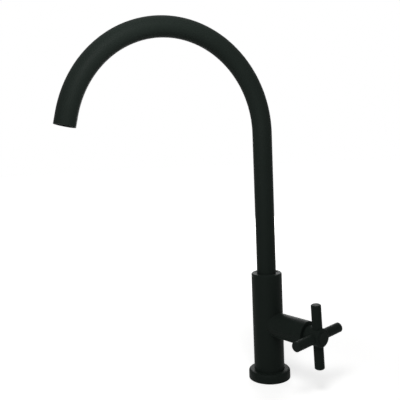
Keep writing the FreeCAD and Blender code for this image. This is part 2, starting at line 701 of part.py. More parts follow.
def spindle():
    """Spindle: tangs and driver for the moving disc, stop lugs, grooves, splines and tapped end."""
    body = new_body("spindle")
    stem = "stem_dia / 2"
    journal = "spindle_dia / 2"
    collar_low = CHAMBER_TOP + " - flat_gap - lug_thick"
    collar_top = CHAMBER_TOP + " - flat_gap"
    driver_low = MOVING_TOP + " + flat_gap"
    tip = "spline_dia / 2"
    root = "lug_root_dia / 2 - flat_gap"
    hole = "screw_dia / 2"
    hole_floor = FRONT_FLOOR + " - screw_length - play"
    turned(body, [("0", driver_low), (stem, driver_low), (stem, collar_low),
                  (root, collar_low), (root, collar_top), (journal, collar_top),
                  (journal, SPLINE_FOOT), (tip, SPLINE_FOOT), (tip, SPLINE_TOP),
                  (hole, SPLINE_TOP), (hole, hole_floor), ("0", hole_floor)])
    bar = outline(body, "XY_Plane",
                  [("-driver_reach", "-driver_width / 2"), ("driver_reach", "-driver_width / 2"),
                   ("driver_reach", "driver_width / 2"), ("-driver_reach", "driver_width / 2")],
                  driver_low)
    pushed(body, bar, "driver_thick")
    inner = "tang_inner_dia / 2"
    tang_foot = MOVING_TOP + " - tang_depth"
    tang_top = driver_low + " + flat_gap"
    tang = outline(body, "XZ_Plane", [(inner, tang_foot), ("driver_reach", tang_foot),
                                      ("driver_reach", tang_top), (inner, tang_top)])
    ends = pushed(body, tang, "tang_width")
    ends.Midplane = True
    repeated(body, ends, "2")
    lug = turned(body, ring_points(stem, "chamber_dia / 2 - running_fit", collar_low, collar_top),
                 angle=LUG_ANGLE, turn=LUG_START)
    repeated(body, lug, "2")
    for down in ("outer_ring_down", "inner_ring_down"):
        level = BRANCH_REACH + " - " + down
        cut_groove(body, journal, "spindle_ring_section", level, "spindle_groove_width")
    turned(body, ring_points("clip_groove_dia / 2", journal + " + running_fit", CLIP_BASE,
                             CLIP_BASE + " + clip_thick + flat_gap * 2"), cut=True)
    groove = outline(body, "XY_Plane", spline_points("0"), SPLINE_FOOT)
    length = "%s - (%s) + flat_gap" % (SPLINE_TOP, SPLINE_FOOT)
    repeated(body, pushed(body, groove, length, cut=True, back=True), "spline_teeth")
    place_on_valve(body)


def spindle_clip():
    """Open retaining ring in the spindle's groove, outside the bush's neck."""
    body = new_body("spindle_clip")
    turned(body, ring_points("clip_groove_dia / 2 + flat_gap", "clip_dia / 2", CLIP_BASE + " + flat_gap",
                             CLIP_BASE + " + flat_gap + clip_thick"), angle="360 - clip_opening")
    place_on_valve(body)


def bonnet_sleeve():
    """Plain sleeve over the headwork's hexagon, the branch's outer end, screwed on the neck."""
    body = new_body("bonnet_sleeve")
    outer = "branch_dia / 2"
    neck = "neck_dia / 2 + fixed_fit"
    foot = "boss_length + flat_gap"
    sleeve = turned(body, [(SLEEVE_INSIDE, foot), (outer, foot), (outer, BRANCH_REACH), (neck, BRANCH_REACH),
                           (neck, HEX_TOP + " + play"), (SLEEVE_INSIDE, HEX_TOP + " + play")])
    rounded(body, sleeve, outer, BRANCH_REACH, "sleeve_round")
    place_on_valve(body)


def handle_hub():
    """Hub with a splined socket, a pocket for the clip, a web for the screw and holes for the arms."""
    body = new_body("handle_hub")
    pocket = "hub_pocket_dia / 2"
    socket = "spline_dia / 2 + fixed_fit"
    hole = "screw_dia / 2 + flat_gap"
    front = "hub_front_dia / 2"
    shell = turned(body, [(pocket, HUB_BACK), (HUB_RADIUS + " - hub_back_edge", HUB_BACK),
                          (HUB_RADIUS, HUB_BACK + " + hub_back_edge"), (HUB_RADIUS, HUB_FRONT),
                          (front, HUB_FRONT), (front, FRONT_FLOOR), (hole, FRONT_FLOOR),
                          (hole, WEB_BACK), (socket, WEB_BACK), (socket, POCKET_FLOOR),
                          (pocket, POCKET_FLOOR)])
    rounded(body, shell, HUB_RADIUS, HUB_FRONT, "hub_round")
    spigot = "arm_spigot_dia / 2 + fixed_fit"
    spigot_hole = circles(body, "XZ_Plane", [("0", ARM_PLANE, spigot)], HUB_RADIUS)
    depth = "%s - (%s) + flat_gap" % (HUB_RADIUS, SPIGOT_ROOT)
    repeated(body, pushed(body, spigot_hole, depth, cut=True), str(ARMS))
    tooth = outline(body, "XY_Plane", spline_points("fixed_fit"), POCKET_FLOOR, spin="-cross_turn")
    repeated(body, pushed(body, tooth, "%s - (%s)" % (WEB_BACK, POCKET_FLOOR)), "spline_teeth")
    place_on_valve(body, angle="cross_turn")


def handle_arms():
    """Round arms of the cross, coped to the hub and held by their spigots."""
    for index in range(ARMS):
        body = new_body("handle_arm_%d" % (index + 1))
        radius = "arm_dia / 2"
        rod = outline(body, "XY_Plane", [("0", "0"), ("0", radius), ("arm_reach - arm_edge", radius),
                                         ("arm_reach", radius + " - arm_edge"), ("arm_reach", "0")])
        turn_round(body, rod, axis="H_Axis")
        cope = circles(body, "XY_Plane", [("0", "0", HUB_RADIUS)])
        pushed(body, cope, "arm_dia + flat_gap", cut=True).Midplane = True
        root = HUB_RADIUS + " + arm_edge"
        spigot = outline(body, "XY_Plane", [(SPIGOT_ROOT, "0"), (SPIGOT_ROOT, "arm_spigot_dia / 2"),
                                            (root, "arm_spigot_dia / 2"), (root, "0")])
        turn_round(body, spigot, axis="H_Axis")
        place_on_valve(body, ARM_PLANE, "cross_turn + %d" % (index * 360 // ARMS))


def handle_screw():
    """Socket-head screw that holds the hub on the spindle."""
    body = new_body("handle_screw")
    shank = "screw_dia / 2 - fixed_fit"
    head = "screw_head_dia / 2"
    head_top = FRONT_FLOOR + " + screw_head_height"
    turned(body, [("0", FRONT_FLOOR + " - screw_length"), (shank, FRONT_FLOOR + " - screw_length"),
                  (shank, FRONT_FLOOR), (head, FRONT_FLOOR), (head, head_top), ("0", head_top)])
    socket = outline(body, "XY_Plane", hexagon_points("screw_flats"), head_top)
    pushed(body, socket, "screw_socket_depth", cut=True)
    place_on_valve(body)


def index_cap():
    """Plain cap pressed into the hub's front."""
    body = new_body("index_cap")
    radius = "hub_front_dia / 2 - fixed_fit"
    top = HUB_FRONT + " + cap_rise"
    cap = turned(body, [("0", HUB_FRONT + " - cap_thick"), (radius, HUB_FRONT + " - cap_thick"),
                        (radius, top), ("0", top)])
    rounded(body, cap, radius, top, "cap_round")
    place_on_valve(body)


def mouth_ring():
    """Threaded ring inside the spout's mouth, with the ledge that the aerator's seal meets."""
    body = new_body("mouth_ring")
    turned(body, [(THREAD_INSIDE, "mouth_ring_inset"), (MOUTH_RADIUS, "mouth_ring_inset"),
                  (MOUTH_RADIUS, RING_TOP), ("mouth_ledge_bore / 2", RING_TOP),
                  ("mouth_ledge_bore / 2", MOUTH_LEDGE), (THREAD_INSIDE, MOUTH_LEDGE)])
    place_in_mouth(body)


def aerator_housing():
    """Aerator shell with a lip under the grid, a step for the screen and key notches."""
    body = new_body("aerator_housing")
    lip = AERATOR_INSIDE + " - aerator_lip"
    step = AERATOR_INSIDE + " + screen_step"
    turned(body, [(lip, "aerator_inset"), (AERATOR_RADIUS, "aerator_inset"), (AERATOR_RADIUS, AERATOR_TOP),
                  (step, AERATOR_TOP), (step, SCREEN_FOOT), (AERATOR_INSIDE, SCREEN_FOOT),
                  (AERATOR_INSIDE, GRID_FOOT), (lip, GRID_FOOT)])
    side = "aerator_notch / 2"
    foot = "aerator_inset - flat_gap"
    roof = "aerator_inset + aerator_notch_depth"
    notch = outline(body, "XZ_Plane", [("-" + side, foot), (side, foot), (side, roof), ("-" + side, roof)],
                    TUBE_INSIDE)
    repeated(body, pushed(body, notch, "aerator_wall + aerator_lip * 2", cut=True), str(NOTCHES))
    place_in_mouth(body)


def aerator_grid():
    """Honeycomb flow straightener seen in the mouth."""
    radius = AERATOR_INSIDE + " - fixed_fit"
    disc = DOC.addObject("Part::Cylinder", "aerator_grid_disc")
    disc.setExpression("Radius", bound(radius))
    disc.setExpression("Height", bound("grid_thick"))
    place(disc, ("0", "0", GRID_FOOT))
    corner = "(grid_pitch - grid_web) / sqrt(3)"
    reach = number("%s - grid_rim - %s" % (radius, corner))
    pitch = number("grid_pitch")
    cells = []
    for row in range(-GRID_RINGS, GRID_RINGS + 1):
        for column in range(-GRID_RINGS, GRID_RINGS + 1):
            across = column + row / 2
            up = row * 3 ** 0.5 / 2
            if (across ** 2 + up ** 2) ** 0.5 * pitch > reach:
                continue
            cell = DOC.addObject("Part::Prism", "aerator_grid_cell")
            cell.Polygon = 6
            cell.setExpression("Circumradius", bound(corner))
            cell.setExpression("Height", bound("grid_thick + flat_gap * 2"))
            place(cell, ("grid_pitch * %s" % across, "grid_pitch * %d * sqrt(3) / 2" % row,
                         GRID_FOOT + " - flat_gap"), ("30", "0", "0"))
            cells.append(cell)
    tool = DOC.addObject("Part::Compound", "aerator_grid_cells")
    tool.Links = cells
    grid = DOC.addObject("Part::Cut", "aerator_grid")
    grid.Label = "aerator_grid"
    grid.Base = disc
    grid.Tool = tool
    place_in_mouth(grid)
    NODES.append(grid)


def aerator_screen():
    """Jet plate above the grid, with two rings of holes."""
    body = new_body("aerator_screen")
    radius = AERATOR_INSIDE + " + screen_step - fixed_fit"
    plate = circles(body, "XY_Plane", [("0", "0", radius)], SCREEN_FOOT)
    pushed(body, plate, "screen_thick")
    for ring, holes in (("screen_inner_ring_dia", SCREEN_INNER_HOLES),
                        ("screen_outer_ring_dia", SCREEN_OUTER_HOLES)):
        hole = circles(body, "XY_Plane", [(ring + " / 2", "0", "screen_hole_dia / 2")], AERATOR_TOP)
        repeated(body, pushed(body, hole, "screen_thick + flat_gap * 2", cut=True), str(holes))
    place_in_mouth(body)


def aerator_seal():
    """Rubber washer between the aerator and the mouth ring's ledge."""
    body = new_body("aerator_seal")
    outer = AERATOR_RADIUS + " - flat_gap"
    turned(body, ring_points(outer + " - aerator_seal_width", outer, AERATOR_TOP, MOUTH_LEDGE))
    place_in_mouth(body)


def check_model():
    """Stop unless every object is up to date, every cut removes and every sub-part is a sound solid."""
    for item in DOC.Objects:
        if "Invalid" in item.State or "Error" in item.State:
            raise RuntimeError("%s failed: %s" % (item.Name, item.State))
        base = getattr(item, "BaseFeature", None)
        if base is None or item.TypeId not in CHANGES:
            continue
        change = (item.Shape.Volume - base.Shape.Volume) * CHANGES[item.TypeId]
        if change <= 0:
            raise RuntimeError("%s changes nothing" % item.Name)
    for node in NODES:
        if node.Shape.isNull() or not node.Shape.isValid():
            raise RuntimeError("%s has no sound shape" % node.Label)


CHANGES = {
    "PartDesign::Pocket": -1,
    "PartDesign::Groove": -1,
    "PartDesign::Pad": 1,
    "PartDesign::Revolution": 1,
}


def export_nodes():
    """Write each sub-part to its own file."""
    os.makedirs("parts", exist_ok=True)
    for node in NODES:
        node.Shape.exportStep(os.path.join("parts", node.Label + ".step"))
        print(node.Label, round(node.Shape.Volume), "mm3", len(node.Shape.Solids))


fill_sheet()
pillar_body()
base_flange()
base_gasket()
inlet_shank()
deck_washers()
back_nut()
swivel_bearings()
spout_grub_screw()
spout_tube()
spout_tail()
ring_pair("spout_rings", TUBE_RADIUS, "ring_section",
          (TAIL_FOOT + " + lower_ring_up", TAIL_FOOT + " + upper_ring_up"))
headwork_bush()
headwork_seals()
ceramic_discs()
spindle()
spindle_rings = ring_pair("spindle_rings", "spindle_dia / 2", "spindle_ring_section",
                          (BRANCH_REACH + " - outer_ring_down", BRANCH_REACH + " - inner_ring_down"))
place_on_valve(spindle_rings)
spindle_clip()
bonnet_sleeve()
handle_hub()
handle_arms()
handle_screw()
index_cap()
mouth_ring()
aerator_housing()
aerator_grid()
aerator_screen()
aerator_seal()
DOC.recompute()
check_model()
export_nodes()
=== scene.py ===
"""Looks of a satin black kitchen pillar tap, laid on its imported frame.

The frame's solids keep their shapes and get the finishes of a real tap. The tail gets its cut
thread.
"""

import logging
import math
from dataclasses import dataclass, field
from enum import Enum
from typing import Any, Sequence

import bpy
from mathutils import Matrix, Vector


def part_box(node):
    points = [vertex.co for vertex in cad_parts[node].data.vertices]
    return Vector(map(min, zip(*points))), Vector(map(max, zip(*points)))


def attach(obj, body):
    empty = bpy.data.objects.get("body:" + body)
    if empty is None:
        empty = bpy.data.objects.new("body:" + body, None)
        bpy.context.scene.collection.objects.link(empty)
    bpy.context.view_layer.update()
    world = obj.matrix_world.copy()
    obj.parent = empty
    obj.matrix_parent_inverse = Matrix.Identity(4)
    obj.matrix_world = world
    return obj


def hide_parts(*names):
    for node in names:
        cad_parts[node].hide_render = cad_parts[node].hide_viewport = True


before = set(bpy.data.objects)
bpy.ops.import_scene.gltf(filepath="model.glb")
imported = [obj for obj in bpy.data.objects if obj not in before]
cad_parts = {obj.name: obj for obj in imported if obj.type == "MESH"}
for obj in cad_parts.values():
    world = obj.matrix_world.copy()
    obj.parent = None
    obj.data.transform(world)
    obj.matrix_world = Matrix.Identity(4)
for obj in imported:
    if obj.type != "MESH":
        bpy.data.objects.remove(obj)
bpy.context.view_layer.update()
LOG = logging.getLogger("kitchen_tap")
MM = 0.001
# Points nearer to each other than this, in metres, are one point
WELD = 1e-6
# A wave texture repeats at every twentieth of a full turn of its scaled place
WAVE_REPEAT = math.tau / 20
WHITE = "#FFFFFF"


class Lay(Enum):
    """Axis that the fine marks of a finish run round."""

    UPRIGHT = "the pillar's axis"
    VALVE = "the valve's axis"


def linear(hex_colour: str) -> tuple[float, float, float, float]:
    """Turn an sRGB hex colour to the linear values that shaders read.

    Args:
        hex_colour: six hexadecimal digits after a hash sign.

    Returns:
        Red, green, blue and an alpha of one.
    """
    parts = [int(hex_colour[i:i + 2], 16) / 255 for i in (1, 3, 5)]
    # The numbers are those of the sRGB curve
    red, green, blue = (p / 12.92 if p <= 0.04045 else ((p + 0.055) / 1.055) ** 2.4 for p in parts)
    return red, green, blue, 1.0


def add_node(tree: bpy.types.NodeTree, kind: str, inputs: dict[Any, Any] | None = None,
             **settings: Any) -> bpy.types.Node:
    """Add a node with its settings and links.

    Args:
        tree: the node tree.
        kind: the node's type name.
        inputs: values or output sockets by the input's name or number.
        settings: attributes of the node.

    Returns:
        The new node.
    """
    node = tree.nodes.new(kind)
    for name, value in settings.items():
        setattr(node, name, value)
    for key, value in (inputs or {}).items():
        if isinstance(value, bpy.types.NodeSocket):
            tree.links.new(value, node.inputs[key])
        else:
            node.inputs[key].default_value = value
    return node


def empty_material(name: str) -> bpy.types.Material:
    """Make a material with an empty node tree.

    Args:
        name: the material's name.

    Returns:
        The material.
    """
    material = bpy.data.materials.new(name)
    material.use_nodes = True
    material.node_tree.nodes.clear()
    return material


def object_place(tree: bpy.types.NodeTree, lay: Lay, valve: Matrix) -> bpy.types.NodeSocket:
    """Give the place on the object, with Z along the axis that the marks run round.

    Args:
        tree: the node tree.
        lay: the axis.
        valve: the axes of the valve, Z outwards.

    Returns:
        The vector socket.
    """
    coordinates = add_node(tree, "ShaderNodeTexCoord").outputs["Object"]
    if lay is Lay.UPRIGHT:
        return coordinates
    inverse = valve.inverted()
    return add_node(tree, "ShaderNodeMapping", {
        "Vector": coordinates,
        "Location": inverse.to_translation(),
        "Rotation": inverse.to_euler("XYZ"),
    }, vector_type="POINT").outputs["Vector"]


def close_finish(tree: bpy.types.NodeTree, height: bpy.types.NodeSocket, strength: float,
                 depth_mm: float, look: dict[str, Any]) -> None:
    """Add the relief, the shader and the output that a finish ends in.

    Args:
        tree: the node tree.
        height: the relief's pattern.
        strength: how strongly the relief tilts the light.
        depth_mm: the relief's depth.
        look: the shader's other inputs by name.
    """
    bump = add_node(tree, "ShaderNodeBump", {
        "Height": height, "Strength": strength, "Distance": depth_mm * MM})
    shader = add_node(tree, "ShaderNodeBsdfPrincipled", {
        **look, "Normal": bump.outputs["Normal"]})
    add_node(tree, "ShaderNodeOutputMaterial", {"Surface": shader.outputs["BSDF"]})


@dataclass(frozen=True)
class Mottle:
    """Cloudy change of colour and gloss, as drying, handling or blooming leaves it.

    From low to high in the pattern, the roughness goes from glossier under its mean to duller
    over it.
    """

    size_mm: float
    detail: float
    fineness: float
    low: float = 0.3
    high: float = 0.7
    glossier: float = 0.05
    duller: float = 0.05

    def spread(self, tree: bpy.types.NodeTree, place: bpy.types.NodeSocket,
               colours: tuple[str, str], roughness: float) -> dict[str, bpy.types.NodeSocket]:
        """Spread the change over a surface.

        Args:
            tree: the node tree.
            place: the place on the object.
            colours: the main colour and the one that it clouds over to.
            roughness: the surface's mean roughness.

        Returns:
            The shader's colour and roughness by the names of its inputs.
        """
        cloud = add_node(tree, "ShaderNodeTexNoise", {
            "Vector": place, "Scale": 1 / (self.size_mm * MM), "Detail": self.detail,
            "Roughness": self.fineness})
        main, clouded = (linear(colour) for colour in colours)
        mixed = add_node(tree, "ShaderNodeMix", {0: cloud.outputs["Fac"], 6: main, 7: clouded},
                         data_type="RGBA")
        gloss = add_node(tree, "ShaderNodeMapRange", {
            "Value": cloud.outputs["Fac"], "From Min": self.low, "From Max": self.high,
            "To Min": roughness - self.glossier, "To Max": roughness + self.duller})
        return {"Base Color": mixed.outputs[2], "Roughness": gloss.outputs["Result"]}


@dataclass(frozen=True)
class BlackCoat:
    """Satin black lacquer on brass and stainless steel, sprayed and stoved.

    The eye sees a deep, faintly green black with a soft sheen and a very fine orange peel.
    """

    name: str = "black_coat"
    colour: str = "#191E1B"
    thin_colour: str = "#1E2421"
    roughness: float = 0.52
    specular: float = 0.025
    cloud: Mottle = Mottle(size_mm=34.0, detail=3.0, fineness=0.55)
    peel_mm: float = 0.9
    peel_depth_mm: float = 0.004
    peel_detail: float = 2.0
    peel_fineness: float = 0.4
    peel_strength: float = 0.35

    def material(self, lay: Lay, valve: Matrix) -> bpy.types.Material:
        """Make the lacquer's material.

        Args:
            lay: the axis of the piece.
            valve: the axes of the valve.

        Returns:
            The material.
        """
        made = empty_material(self.name)
        tree = made.node_tree
        place = object_place(tree, lay, valve)
        look = self.cloud.spread(tree, place, (self.colour, self.thin_colour), self.roughness)
        peel = add_node(tree, "ShaderNodeTexNoise", {
            "Vector": place, "Scale": 1 / (self.peel_mm * MM), "Detail": self.peel_detail,
            "Roughness": self.peel_fineness})
        close_finish(tree, peel.outputs["Fac"], self.peel_strength, self.peel_depth_mm,
                     {**look, "Specular IOR Level": self.specular})
        return made


@dataclass(frozen=True)
class TurnedMetal:
    """Bare metal from the lathe, with fine rings left by the tool and faint handling marks.

    The rings are drawn about three times as coarse as real ones, so that they show.
    """

    name: str
    colour: str
    stain_colour: str
    roughness: float
    pitch_mm: float = 0.45
    depth_mm: float = 0.006
    stain: Mottle = Mottle(size_mm=9.0, detail=5.0, fineness=0.6, low=0.25, high=0.75,
                           glossier=0.07, duller=0.1)
    wobble: float = 0.6
    wobble_detail: float = 1.0
    wobble_scale: float = 2.0
    ring_strength: float = 0.4

    def material(self, lay: Lay, valve: Matrix) -> bpy.types.Material:
        """Make the metal's material, with rings on the turned sides and on the faces.

        Args:
            lay: the axis that the piece was turned about.
            valve: the axes of the valve.

        Returns:
            The material.
        """
        made = empty_material(self.name)
        tree = made.node_tree
        place = object_place(tree, lay, valve)
        look = self.stain.spread(tree, place, (self.colour, self.stain_colour), self.roughness)
        rings = [
            add_node(tree, "ShaderNodeTexWave", {
                "Vector": place, "Scale": WAVE_REPEAT / (self.pitch_mm * MM),
                "Distortion": self.wobble, "Detail": self.wobble_detail,
                "Detail Scale": self.wobble_scale}, wave_type=kind, **{direction: "Z"})
            for kind, direction in (("BANDS", "bands_direction"), ("RINGS", "rings_direction"))]
        both = add_node(tree, "ShaderNodeMath", {
            number: ring.outputs["Fac"] for number, ring in enumerate(rings)}, operation="ADD")
        close_finish(tree, both.outputs[0], self.ring_strength, self.depth_mm,
                     {**look, "Metallic": 1.0})
        return made


@dataclass(frozen=True)
class Moulded:
    """Moulded rubber or plastic, or a pressed and fired ceramic, with a fine, even grain."""

    name: str
    colour: str
    bloom_colour: str
    roughness: float
    specular: float
    grain_mm: float
    grain_depth_mm: float
    bloom: Mottle = Mottle(size_mm=12.0, detail=4.0, fineness=0.5)
    grain_detail: float = 2.0
    grain_fineness: float = 0.5
    grain_strength: float = 0.4

    def material(self, lay: Lay, valve: Matrix) -> bpy.types.Material:
        """Make the material.

        Args:
            lay: the axis of the piece.
            valve: the axes of the valve.

        Returns:
            The material.
        """
        made = empty_material(self.name)
        tree = made.node_tree
        place = object_place(tree, lay, valve)
        look = self.bloom.spread(tree, place, (self.colour, self.bloom_colour), self.roughness)
        grain = add_node(tree, "ShaderNodeTexNoise", {
            "Vector": place, "Scale": 1 / (self.grain_mm * MM), "Detail": self.grain_detail,
            "Roughness": self.grain_fineness})
        close_finish(tree, grain.outputs["Fac"], self.grain_strength, self.grain_depth_mm,
                     {**look, "Specular IOR Level": self.specular})
        return made


Finish = BlackCoat | TurnedMetal | Moulded

# Stoved black lacquer on all the outside metal: deep black with a satin sheen
LACQUER = BlackCoat()
# Brass for taps, turned: warm yellow, dull where it has been handled
BRASS = TurnedMetal("turned_brass", "#C9A565", "#B08A4C", roughness=0.3)
# Stainless steel, turned or stamped: neutral grey with a soft shine
STEEL = TurnedMetal("stainless_steel", "#A9ABAD", "#97999B", roughness=0.34, pitch_mm=0.35)
# Blackened alloy steel of small socket screws: near black, slightly oily
BLACK_STEEL = TurnedMetal("blackened_steel", "#2B2C2D", "#222324", roughness=0.4, pitch_mm=0.3)
# Nitrile rubber from a mould: soft black with a grey bloom
RUBBER = Moulded("nitrile_rubber", "#222223", "#2D2E2F", roughness=0.72, specular=0.35,
                 grain_mm=0.5, grain_depth_mm=0.02)
# Lapped alumina: white, dense and slightly glossy
ALUMINA = Moulded("lapped_alumina", "#E9E6DE", "#DEDAD0", roughness=0.22, specular=0.5,
                  grain_mm=0.25, grain_depth_mm=0.002)
# Black acetal from a blasted mould: a plain bearing plastic with a dull, waxy face
BLACK_ACETAL = Moulded("black_acetal", "#18191A", "#202121", roughness=0.6, specular=0.05,
                       grain_mm=0.4, grain_depth_mm=0.008)
# Grey acetal of aerator insets, moulded: pale grey with a soft, even gloss
GREY_ACETAL = Moulded("grey_acetal", "#8D9192", "#858A8B", roughness=0.38, specular=0.45,
                      grain_mm=0.4, grain_depth_mm=0.008)


class Bench:
    """Modelling tools: edit-mode operators on one object at a time, as by hand."""

    @staticmethod
    def clear() -> None:
        """Leave edit mode and deselect everything."""
        if bpy.context.object and bpy.context.object.mode != "OBJECT":
            bpy.ops.object.mode_set(mode="OBJECT")
        bpy.ops.object.select_all(action="DESELECT")

    @staticmethod
    def profile(name: str, points: Sequence[tuple[float, float]]) -> bpy.types.Object:
        """Draw an open outline of radius and height pairs by extruding one point.

        Args:
            name: the object's name.
            points: radii and heights in metres.

        Returns:
            The object, with the outline in the XZ plane.
        """
        Bench.clear()
        first = Vector((points[0][0], 0.0, points[0][1]))
        bpy.ops.mesh.primitive_plane_add(size=MM, location=first)
        made = bpy.context.object
        made.name = name
        bpy.ops.object.transform_apply(location=True, rotation=False, scale=False)
        bpy.ops.object.mode_set(mode="EDIT")
        bpy.ops.mesh.select_all(action="SELECT")
        bpy.ops.mesh.merge(type="CENTER")
        for (r0, z0), (r1, z1) in zip(points, points[1:]):
            step = (r1 - r0, 0.0, z1 - z0)
            bpy.ops.mesh.extrude_region_move(TRANSFORM_OT_translate={"value": step})
        bpy.ops.object.mode_set(mode="OBJECT")
        return made

    @staticmethod
    def tidy(made: bpy.types.Object, distance: float = WELD) -> None:
        """Merge doubled points and turn all faces outwards.

        Args:
            made: the object.
            distance: how near to each other points are merged, in metres.
        """
        bpy.context.view_layer.objects.active = made
        bpy.ops.object.mode_set(mode="EDIT")
        bpy.ops.mesh.select_all(action="SELECT")
        bpy.ops.mesh.remove_doubles(threshold=distance)
        bpy.ops.mesh.normals_make_consistent(inside=False)
        bpy.ops.object.mode_set(mode="OBJECT")

    @staticmethod
    def turned(name: str, points: Sequence[tuple[float, float]],
               segments: int) -> bpy.types.Object:
        """Spin a closed outline about the upright axis.

        Args:
            name: the object's name.
            points: radii and heights in metres, the first repeated at the end.
            segments: steps of the full turn.

        Returns:
            A closed solid.
        """
        made = Bench.profile(name, points)
        bpy.ops.object.mode_set(mode="EDIT")
        bpy.ops.mesh.select_all(action="SELECT")
        bpy.ops.mesh.spin(steps=segments, angle=math.tau, center=(0, 0, 0), axis=(0, 0, 1))
        bpy.ops.object.mode_set(mode="OBJECT")
        Bench.tidy(made)
        return made

    @staticmethod
    def keep_inside(made: bpy.types.Object, envelope: bpy.types.Object) -> None:
        """Cut away all of an object that lies outside an envelope, and remove the envelope.

        Args:
            made: the object.
            envelope: the closed solid that it is kept inside.
        """
        Bench.clear()
        bpy.context.view_layer.objects.active = made
        made.select_set(True)
        modifier = made.modifiers.new("keep_inside", "BOOLEAN")
        modifier.object = envelope
        modifier.operation = "INTERSECT"
        modifier.solver = "EXACT"
        bpy.ops.object.modifier_apply(modifier=modifier.name)
        bpy.data.objects.remove(envelope)

    @staticmethod
    def dress(piece: bpy.types.Object, material: bpy.types.Material) -> None:
        """Give a piece one material all over."""
        piece.data.materials.clear()
        piece.data.materials.append(material)

    @staticmethod
    def smooth(piece: bpy.types.Object, degrees: float) -> None:
        """Smooth a piece's shading and keep its sharp edges.

        Args:
            piece: the object.
            degrees: the angle above which an edge stays sharp.
        """
        Bench.clear()
        piece.select_set(True)
        bpy.context.view_layer.objects.active = piece
        bpy.ops.object.shade_smooth_by_angle(angle=math.radians(degrees))


@dataclass
class Valve:
    """Where the valve's axis lies: its height, and its turn from square to the spout."""

    height: float = 60.0 * MM
    turn_degrees: float = 11.0

    def axes(self) -> Matrix:
        """Set up axes with Z outwards along the valve and Y up.

        Returns:
            The axes, with their origin over the pillar's foot.
        """
        turn = math.radians(self.turn_degrees)
        outwards = Vector((math.sin(turn), -math.cos(turn), 0.0))
        across = Vector((math.cos(turn), math.sin(turn), 0.0))
        upright = Vector((0.0, 0.0, 1.0))
        made = Matrix((across, upright, outwards)).transposed().to_4x4()
        made.translation = Vector((0.0, 0.0, self.height))
        return made


@dataclass
class Workshop:
    """Finishes in use, each made once for each lay of its marks."""

    valve: Valve = field(default_factory=Valve)
    made: dict[tuple[str, Lay], bpy.types.Material] = field(default_factory=dict)

    def finish(self, kind: Finish, lay: Lay) -> bpy.types.Material:
        """Give a finish's material for a lay, made at its first use.

        Args:
            kind: the finish.
            lay: the axis that its marks run round.

        Returns:
            The material.
        """
        key = (kind.name, lay)
        if key not in self.made:
            self.made[key] = kind.material(lay, self.valve.axes())
        return self.made[key]

    def dress_nodes(self, kind: Finish, lay: Lay, names: Sequence[str]) -> None:
        """Give a finish to nodes of the frame.

        Args:
            kind: the finish.
            lay: the axis that its marks run round.
            names: the nodes' names.
        """
        for name in names:
            Bench.dress(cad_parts[name], self.finish(kind, lay))
            LOG.info("%s: %s", name, kind.name)


@dataclass
class PillarAndBase:
    """Pillar with its valve branch, on the base flange."""

    shop: Workshop
    coated: tuple[str, ...] = ("pillar_body", "base_flange", "bonnet_sleeve")
    bearings: tuple[str, ...] = ("swivel_bush", "thrust_washer")
    screws: tuple[str, ...] = ("spout_grub_screw",)

    def build(self) -> None:
        """Dress the coated body and the small parts in it."""
        self.shop.dress_nodes(LACQUER, Lay.UPRIGHT, self.coated)
        self.shop.dress_nodes(BLACK_ACETAL, Lay.UPRIGHT, self.bearings)
        self.shop.dress_nodes(BLACK_STEEL, Lay.UPRIGHT, self.screws)


